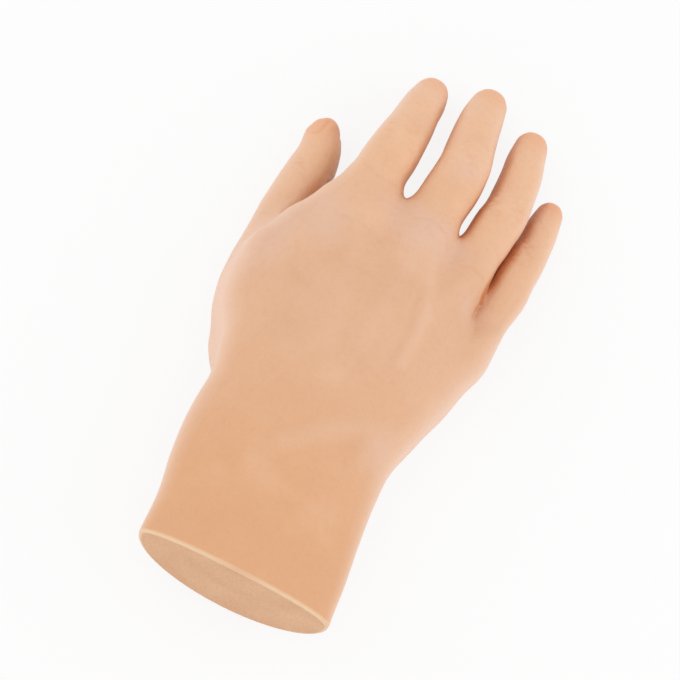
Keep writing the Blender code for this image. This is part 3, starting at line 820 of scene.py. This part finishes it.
def solid_mesh(points, quads, height):
    """A bmesh of the surface that carries each point's normal, relief and tints, painted shade and painted
    light among them, through later cuts.
    """
    normals = point_normals(points, quads)
    mesh = bpy.data.meshes.new("work")
    mesh.from_pydata(points, [], quads)
    carried = {
        "rest": normals,
        # painted shade in folds and along the crease between the ring and little fingers
        "fold": np.maximum(shade_of(points, normals), crease_shade_of(points)),
        # relief height, which also paints a highlight on ridges and shade in grooves
        "relief": height,
        # painted light where the skin faces sideways
        "edge": side_light_of(points, normals),
        # pale pinkish patches on skin that faces up
        "dust": pale_patch_of(points, normals),
        "tip": tip_of(points),
    }
    for name, values in carried.items():
        kind, field = ("FLOAT_VECTOR", "vector") if values.ndim == 2 else ("FLOAT", "value")
        attribute = mesh.attributes.new(name, kind, "POINT")
        attribute.data.foreach_set(field, np.ascontiguousarray(values, np.float32).ravel())
    bm = bmesh.new()
    bm.from_mesh(mesh)
    bpy.data.meshes.remove(mesh)
    return bm


def raised_skin(grid, field, digit=None):
    """The field's surface with the palm's relief, and a digit's own, raised along its normals."""
    points, quads = surface(grid, field)
    base = point_normals(points, quads)
    own = 0.0 if digit is None else digit_relief(digit, points)
    height, fine = palm_relief(points, base)
    return solid_mesh(points + base * (own + height)[:, None], quads, own + fine)


def slice_off(bm, centre, way, reach=None):
    """Cut across a plane and drop what lies ahead of it; reach limits the cut to faces near its centre."""

    def chosen(spot):
        """Whether a spot lies within reach of the centre, measured in the plane."""
        offset = spot - centre
        return reach is None or (offset - way * offset.dot(way)).length < reach

    faces = [face for face in bm.faces if chosen(face.calc_center_median())]
    verts = {vert for face in faces for vert in face.verts}
    edges = {edge for face in faces for edge in face.edges}
    geometry = list(verts) + list(edges) + faces
    bmesh.ops.bisect_plane(bm, geom=geometry, plane_co=centre, plane_no=way, dist=1e-5)
    middles = {face: face.calc_center_median() for face in bm.faces}
    drop = [face for face, spot in middles.items() if (spot - centre).dot(way) > 0.0 and chosen(spot)]
    bmesh.ops.delete(bm, geom=drop, context="FACES")


def keep_largest(bm):
    """Drop every loose scrap but the largest: faces are gathered by stepping over shared edges."""
    left = set(bm.faces)
    groups = []
    while left:
        group = waiting = {left.pop()}
        while waiting:
            waiting = {other for face in waiting for edge in face.edges for other in edge.link_faces} & left
            left -= waiting
            group |= waiting
        groups.append(group)
    groups.sort(key=len)
    for group in groups[:-1]:
        bmesh.ops.delete(bm, geom=list(group), context="FACES")


def finish_piece(name, bm, material):
    """Close the cuts, scale to metres and shade by the normals that the whole surface had."""
    loose = [vert for vert in bm.verts if not vert.link_faces]
    bmesh.ops.delete(bm, geom=loose, context="VERTS")
    edges = [edge for edge in bm.edges if len(edge.link_faces) == 1]
    bmesh.ops.holes_fill(bm, edges=edges, sides=0)
    bmesh.ops.scale(bm, verts=bm.verts, vec=(MM, MM, MM))
    mesh = bpy.data.meshes.new(name)
    bm.to_mesh(mesh)
    bm.free()
    mesh.polygons.foreach_set("use_smooth", np.ones(len(mesh.polygons), bool))
    normals = np.empty(len(mesh.vertices) * 3, np.float32)
    mesh.attributes["rest"].data.foreach_get("vector", normals)
    normals = normals.reshape(-1, 3)
    normals /= np.maximum(np.linalg.norm(normals, axis=1), 1e-6)[:, None]
    mesh.normals_split_custom_set_from_vertices(normals)
    mesh.attributes.remove(mesh.attributes["rest"])
    mesh.materials.append(material)
    piece = bpy.data.objects.new(name, mesh)
    bpy.context.scene.collection.objects.link(piece)
    return piece


def linear(code):
    """Linear colour from a hex sRGB code, by the standard curve: a straight foot, then a power of 2.4."""
    parts = [int(code[place:place + 2], 16) / 255.0 for place in (1, 3, 5)]
    parts = [part / 12.92 if part <= 0.04045 else ((part + 0.055) / 1.055) ** 2.4 for part in parts]
    return (*parts, 1.0)


def feed(material, node, **inputs):
    """Fill a node's inputs, each with a value or the socket that feeds it; _2 is the input in place 2."""
    for name, value in inputs.items():
        socket = node.inputs[int(name[1:])] if name[0] == "_" else node.inputs[name.replace("_", " ")]
        if isinstance(value, bpy.types.NodeSocket):
            material.node_tree.links.new(value, socket)
        else:
            socket.default_value = value


def add_node(material, kind, settings=None, **inputs):
    """Add a node with its settings and inputs, and give its outputs."""
    made = material.node_tree.nodes.new(kind)
    for name, value in (settings or {}).items():
        setattr(made, name, value)
    feed(material, made, **inputs)
    return made.outputs


def new_material(name):
    """A plain material and its main shader."""
    material = bpy.data.materials.new(name)
    material.use_nodes = True
    return material, material.node_tree.nodes["Principled BSDF"]


def layered_colour(material, ground, layers):
    """A ground colour with colours laid over it: each layer's mask goes from low to high as its share goes
    from none to most."""
    colour = linear(ground)
    for mask, low, high, most, over in layers:
        share = add_node(material, "ShaderNodeMapRange", Value=mask, From_Min=low, From_Max=high, To_Max=most)
        mixed = {"_0": share[0], "_6": colour, "_7": linear(over)}
        colour = add_node(material, "ShaderNodeMix", {"data_type": "RGBA"}, **mixed)[2]
    return colour


def cast_silicone():
    """Platinum-cure silicone with flesh pigment, cast in a plaster mould: soft, nearly matt, faintly mottled,
    with pale specks and pale pinkish patches; painted shade, deeper and warmer, where folds close over it and
    in grooves, and painted light on its sideways faces, on ridges and along the wrist's rim."""
    material, shader = new_material("cast_silicone")
    place = add_node(material, "ShaderNodeTexCoord")["Object"]
    length = add_node(material, "ShaderNodeSeparateXYZ", Vector=place)["Y"]
    mottle, grain, patch_noise, pores = (
        add_node(material, "ShaderNodeTexNoise", Vector=place, Scale=1.0 / (size * MM), Detail=finer)[0]
        for size, finer in ((SKIN_MOTTLE, 3.0), (SKIN_GRAIN, 2.0), (SKIN_PATCH_NOISE, 4.0), (SKIN_PORE, 3.0)))
    scale = 1.0 / (SKIN_SPECK * MM)
    specks = add_node(material, "ShaderNodeTexVoronoi", Vector=place, Scale=scale)["Distance"]
    fold, relief, edge, dust, tip = (
        add_node(material, "ShaderNodeAttribute", {"attribute_name": name})["Fac"]
        for name in ("fold", "relief", "edge", "dust", "tip"))
    broken_pale_patch = add_node(material, "ShaderNodeMath", {"operation": "MULTIPLY"}, _0=dust, _1=patch_noise)[0]
    colour = layered_colour(material, "#E6AE82", (
        (length, 0.03, 0.1, 1.0, "#E8B793"),
        (length, 0.13, 0.185, 1.0, "#F4C29C"),
        (mottle, 0.52, 0.72, 0.28, "#F1C6A4"),
        (mottle, 0.48, 0.3, 0.25, "#DEA67E"),
        # pale pinkish patches on skin that faces up, broken by noise
        (broken_pale_patch, 0.15, 0.55, 0.32, "#E8C6B8"),
        (specks, 0.14, 0.04, 0.3, "#F8DCC4"),
        (grain, 0.5, 0.75, 0.14, "#D69C74"),
        # painted light: paler and pinker where the skin faces sideways
        (edge, 0.18, 0.8, 0.75, "#FBD9C4"),
        (tip, 0.0, 1.0, 0.8, "#F4B084"),
        # painted highlight on ridges, then painted shade in grooves and creases
        (relief, 0.1, 1.2, 0.3, "#F3CDB4"),
        (relief, -0.05, -0.7, 0.45, "#CE9068"),
        # painted highlight along the wrist's rim at the cut face
        (length, 0.0016, 0.0004, 0.8, "#FBDDB8"),
        # painted shade, darker and warmer, where folds close over the skin
        (fold, 0.15, 0.8, 0.85, "#CC7A42"),
    ))
    dents = add_node(material, "ShaderNodeBump", Strength=0.22, Distance=0.3 * MM, Height=pores)[0]
    rolls = {"Strength": 0.35, "Distance": 0.6 * MM, "Height": grain, "Normal": dents}
    bumps = add_node(material, "ShaderNodeBump", **rolls)[0]
    feed(material, shader, Base_Color=colour, Normal=bumps, Roughness=0.5, IOR=1.41)
    feed(material, shader, Sheen_Weight=0.22, Sheen_Roughness=0.35, Sheen_Tint=linear("#FFE3D2"))
    return material


def poured_fill():
    """Filled silicone, poured at the back of the mould and trimmed: dull, grainy, dotted with bubbles."""
    material, shader = new_material("poured_fill")
    place = add_node(material, "ShaderNodeTexCoord")["Object"]
    grain, cloud = (
        add_node(material, "ShaderNodeTexNoise", Vector=place, Scale=1.0 / (size * MM), Detail=finer)[0]
        for size, finer in ((FILL_GRAIN, 4.0), (FILL_CLOUD, 2.0)))
    scale = 1.0 / (FILL_BUBBLE * MM)
    bubbles = add_node(material, "ShaderNodeTexVoronoi", Vector=place, Scale=scale)["Distance"]
    colour = layered_colour(material, "#E3B28B", (
        (cloud, 0.3, 0.7, 1.0, "#ECBF9B"),
        (grain, 0.4, 0.7, 0.35, "#CC9A71"),
        (bubbles, 0.16, 0.06, 0.3, "#BE8B63"),
    ))
    pits = add_node(material, "ShaderNodeBump", Strength=0.5, Distance=0.6 * MM, Height=grain)[0]
    feed(material, shader, Base_Color=colour, Normal=pits, Roughness=0.78, IOR=1.41)
    return material


def moulded_nylon():
    """White nylon as moulded: satin, very slightly uneven."""
    material, shader = new_material("moulded_nylon")
    place = add_node(material, "ShaderNodeTexCoord")["Object"]
    scale = 1.0 / (NYLON_CLOUD * MM)
    cloud = add_node(material, "ShaderNodeTexNoise", Vector=place, Scale=scale, Detail=2.0)[0]
    colour = layered_colour(material, "#E4E3DC", ((cloud, 0.3, 0.7, 1.0, "#EFEEE8"),))
    feed(material, shader, Base_Color=colour, Roughness=0.45, IOR=1.53)
    return material


def zinc_steel():
    """Zinc-plated steel, barrelled: dull metal with a fine frost."""
    material, shader = new_material("zinc_plated_steel")
    place = add_node(material, "ShaderNodeTexCoord")["Object"]
    scale = 1.0 / (STEEL_FROST * MM)
    frost = add_node(material, "ShaderNodeTexNoise", Vector=place, Scale=scale, Detail=2.0)[0]
    colour = layered_colour(material, "#A9ACB0", ((frost, 0.3, 0.7, 1.0, "#BDBFC1"),))
    dulled = {"Value": frost, "From_Min": 0.3, "From_Max": 0.7, "To_Min": 0.32, "To_Max": 0.48}
    rough = add_node(material, "ShaderNodeMapRange", **dulled)[0]
    feed(material, shader, Base_Color=colour, Roughness=rough, Metallic=1.0)
    return material


def dress_armature():
    """Give the carried-over armature its nylon and steel."""
    nylon, steel = moulded_nylon(), zinc_steel()
    for name, node in frame["nodes"].items():
        if name.endswith("_skin") or name == "wrist_core":
            continue
        metal = name.endswith("_pin") or name in ("wrist_rod", "rod_nut", "anchor_disc")
        node.data.materials.clear()
        node.data.materials.append(steel if metal else nylon)


def seam_arcs(digit):
    """Lengths along a digit where its skin is cut: past the web, then within each segment but the last."""
    past_web = np.interp(digit.shape["web"] + SEAM_PAST_WEB, digit.line[:, 1], digit.arc)
    return [past_web, *(digit.marks[:-1] + SEAM_SHARE * np.diff(digit.marks))]


def seam_plane(digit, index):
    """Where a seam lies and the way it faces, halfway between the ways of the two bends beside it."""
    centre, way = digit.at(seam_arcs(digit)[index])
    if index:
        spans = [bend_span(digit, place) for place in (index - 1, index)]
        way = sum((end - start) / np.linalg.norm(end - start) for start, end in spans)
        way = way / np.linalg.norm(way)
    return Vector(centre), Vector(way)


def bend_span(digit, index):
    """Start and end of the skin that bends over one hinge, clear of the seams on either side."""
    seams = seam_arcs(digit)
    mark = digit.marks[index]
    behind = mark - seams[index] - (BEND_CLEAR if index else WEB_CLEAR)
    last = index + 1 == len(seams)
    ahead = behind if last else seams[index + 1] - mark - BEND_CLEAR
    return digit.at(mark - min(behind, BEND_REACH))[0], digit.at(mark + min(ahead, BEND_REACH))[0]


def make_digit_skin(digit, silicone):
    """The skin of one digit past its web, cut across its segments so that each piece holds one hinge."""
    first = seam_arcs(digit)[0]
    shown = digit.line[digit.arc > first - DIGIT_LEAD]
    grid = Grid(shown.min(0) - DIGIT_MARGIN, shown.max(0) + DIGIT_MARGIN, DIGIT_STEP)
    field = digit.field(grid.points()).reshape(grid.count)
    if digit.kind == "finger":
        near = field - np.interp(first, digit.arc, digit.half) * (STUB_ROOM - 1.0)
        field = np.maximum(join(body_field(grid), field, digit.shape["soft"]), near)
    whole = raised_skin(grid, field, digit)
    centre, way = seam_plane(digit, 0)
    slice_off(whole, centre, -way)
    keep_largest(whole)
    for index, part in enumerate(digit.parts):
        child = "%s_%s" % (digit.name, part)
        piece = whole.copy()
        if index:
            centre, way = seam_plane(digit, index)
            slice_off(piece, centre, -way)
        if index + 1 < len(digit.parts):
            centre, way = seam_plane(digit, index + 1)
            slice_off(piece, centre, way)
        skin = finish_piece(child + "_cast", piece, silicone)
        start, end = bend_span(digit, index)
        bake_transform(skin)
        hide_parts(child + "_skin")
    whole.free()


def make_palm_skin(silicone):
    """Palm, back and wrist in one piece as far as the webs, with a rim round the fill."""
    grid = Grid(*PALM_BOX, PALM_STEP)
    body = body_field(grid)
    field = np.minimum.reduce([with_stub(body, grid, digit) for digit in digits.values()])
    field = meet(field, -grid.y + 0.0 * field, RIM_ROUND)
    recess = np.maximum(palm_field(grid.x, grid.y, grid.z, RIM_WALL), grid.y - FILL_DEPTH)
    field = meet(field, -recess, RECESS_ROUND)
    whole = raised_skin(grid, field)
    for digit in digits.values():
        if digit.kind == "finger":
            half = np.interp(seam_arcs(digit)[0], digit.arc, digit.half)
            slice_off(whole, *seam_plane(digit, 0), half * STUB_ROOM)
    keep_largest(whole)
    skin = finish_piece("palm_cast", whole, silicone)
    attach(skin, "palm")
    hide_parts("palm_skin")


def make_fill():
    """The poured fill: rings from the middle of the cut face to its edge, then down its side. Each ring is
    the wrist's oval, a power of the cosine across and of the sine upward, times the ring's share."""
    angle = np.linspace(0.0, 2.0 * math.pi, FILL_TURNS, endpoint=False)
    left, right, top, waist, bottom = PALM[CUT_FACE, 1:6]
    inset = RIM_WALL - FILL_LAP
    above = np.sin(angle) > 0.0
    power = 2.0 / np.where(above, BACK_POWER, PALM_POWER)
    tall = np.where(above, top - waist, waist - bottom) - inset
    across = np.sign(np.cos(angle)) * np.abs(np.cos(angle)) ** power * ((right - left) / 2.0 - inset)
    upward = np.sign(np.sin(angle)) * np.abs(np.sin(angle)) ** power * tall
    edge_share, edge_drop = zip(*FILL_EDGE)
    share = np.concatenate((np.linspace(*FILL_FACE, FILL_RINGS), edge_share))[:, None]
    drop = np.concatenate((np.zeros(FILL_RINGS), edge_drop))[:, None]
    x = (left + right) / 2.0 + share * across
    z = waist + share * upward
    swell, swell_x, swell_z, swell_start = FILL_SWELL
    ripple, ripple_x, ripple_z = FILL_RIPPLE
    wave = swell * np.sin(x * swell_x + swell_start) * np.sin(z * swell_z)
    wave = wave + ripple * np.sin(x * ripple_x + z * ripple_z)
    y = drop - FILL_PROUD + wave * (1.0 - share ** FILL_CALM)
    points = np.stack((x, y, z), axis=2).reshape(-1, 3)
    near = np.arange(len(share) - 1)[:, None] * FILL_TURNS
    here = np.arange(FILL_TURNS)
    ahead = (here + 1) % FILL_TURNS
    far = near + FILL_TURNS
    quads = np.stack((near + here, near + ahead, far + ahead, far + here), axis=2).reshape(-1, 4)
    fill = finish_piece("wrist_fill", solid_mesh(points, quads, np.zeros(len(points))), poured_fill())
    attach(fill, "palm")
    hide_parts("wrist_core")


def whole_field(grid):
    """Every limb together, cut flat at the wrist, for judging how folds shade each other."""
    points = grid.points()
    limbs = [digit.field(points).reshape(grid.count) for digit in digits.values()]
    return np.maximum(np.minimum.reduce([body_field(grid), *limbs]), -grid.y)


def make_camera():
    """A long lens above the wrist, turned so that the hand leans right as it does in the picture."""
    rise = math.radians(CAMERA_ELEVATION)
    roll = math.radians(CAMERA_ROLL)
    back = Vector((0.0, -math.cos(rise), math.sin(rise)))
    right = Vector((1.0, 0.0, 0.0))
    up = back.cross(right)
    turned_right = right * math.cos(roll) + up * math.sin(roll)
    turned_up = up * math.cos(roll) - right * math.sin(roll)
    data = bpy.data.cameras.new("camera")
    data.sensor_width = SENSOR_MM
    data.lens = PIXELS_PER_MM * CAMERA_DISTANCE / PIXELS * SENSOR_MM
    data.clip_end = FARTHEST
    camera = bpy.data.objects.new("camera", data)
    place = (Vector(CAMERA_TARGET) + back * CAMERA_DISTANCE) * MM
    turn = Matrix((turned_right, turned_up, back)).transposed().to_4x4()
    camera.matrix_world = Matrix.Translation(place) @ turn
    bpy.context.scene.collection.objects.link(camera)
    bpy.context.scene.camera = camera


def make_lamp(name, place, power, size):
    """A square lamp that faces the middle of the hand."""
    data = bpy.data.lights.new(name, "AREA")
    data.energy = power
    data.size = size
    lamp = bpy.data.objects.new(name, data)
    lamp.location = place
    lamp.rotation_euler = (Vector(LAMP_AIM) - Vector(place)).to_track_quat("-Z", "Y").to_euler()
    bpy.context.scene.collection.objects.link(lamp)


def floor_paint():
    """Matt white paint, mixed with plain white light wherever it is seen, so that its shadows stay faint."""
    material, shader = new_material("floor_paint")
    feed(material, shader, Base_Color=linear("#F6F6F6"), Roughness=0.9, Specular_IOR_Level=0.0)
    rays = add_node(material, "ShaderNodeLightPath")
    seen = rays["Is Camera Ray"]
    for ray in ("Is Glossy Ray", "Is Transmission Ray"):
        seen = add_node(material, "ShaderNodeMath", {"operation": "MAXIMUM"}, _0=seen, _1=rays[ray])[0]
    share = add_node(material, "ShaderNodeMath", {"operation": "MULTIPLY"}, _0=seen, _1=FLOOR_WHITE)[0]
    white = add_node(material, "ShaderNodeEmission", Strength=1.0)[0]
    mixed = add_node(material, "ShaderNodeMixShader", _0=share, _1=shader.outputs[0], _2=white)[0]
    feed(material, material.node_tree.nodes["Material Output"], Surface=mixed)
    return material


def make_stage():
    """A pale square floor under the hand, soft lamps round it and even light from all sides."""
    mesh = bpy.data.meshes.new("floor")
    corners = np.array(((-1.0, -1.0), (1.0, -1.0), (1.0, 1.0), (-1.0, 1.0))) * FLOOR_REACH
    mesh.from_pydata(np.insert(corners, 2, FLOOR_Z, axis=1) * MM, [], [(0, 1, 2, 3)])
    mesh.materials.append(floor_paint())
    floor = bpy.data.objects.new("floor", mesh)
    bpy.context.scene.collection.objects.link(floor)
    world = bpy.data.worlds.new("studio")
    world.use_nodes = True
    feed(world, world.node_tree.nodes["Background"], Color=(1.0, 1.0, 1.0, 1.0), Strength=ROOM_LIGHT)
    bpy.context.scene.world = world
    for lamp in LAMPS:
        make_lamp(*lamp)
    bpy.context.scene.view_settings.view_transform = "Standard"


digits = {name: Digit(name) for name in DIGITS}
shade_grid = Grid(*SHADE_BOX, SHADE_STEP)
shade_field = whole_field(shade_grid)
shade_slopes = [blurred(part, EDGE_BLUR) for part in np.gradient(shade_field, SHADE_STEP)]
make_camera()
make_stage()
silicone_skin = cast_silicone()
make_palm_skin(silicone_skin)
for one_digit in digits.values():
    make_digit_skin(one_digit, silicone_skin)
make_fill()
dress_armature()
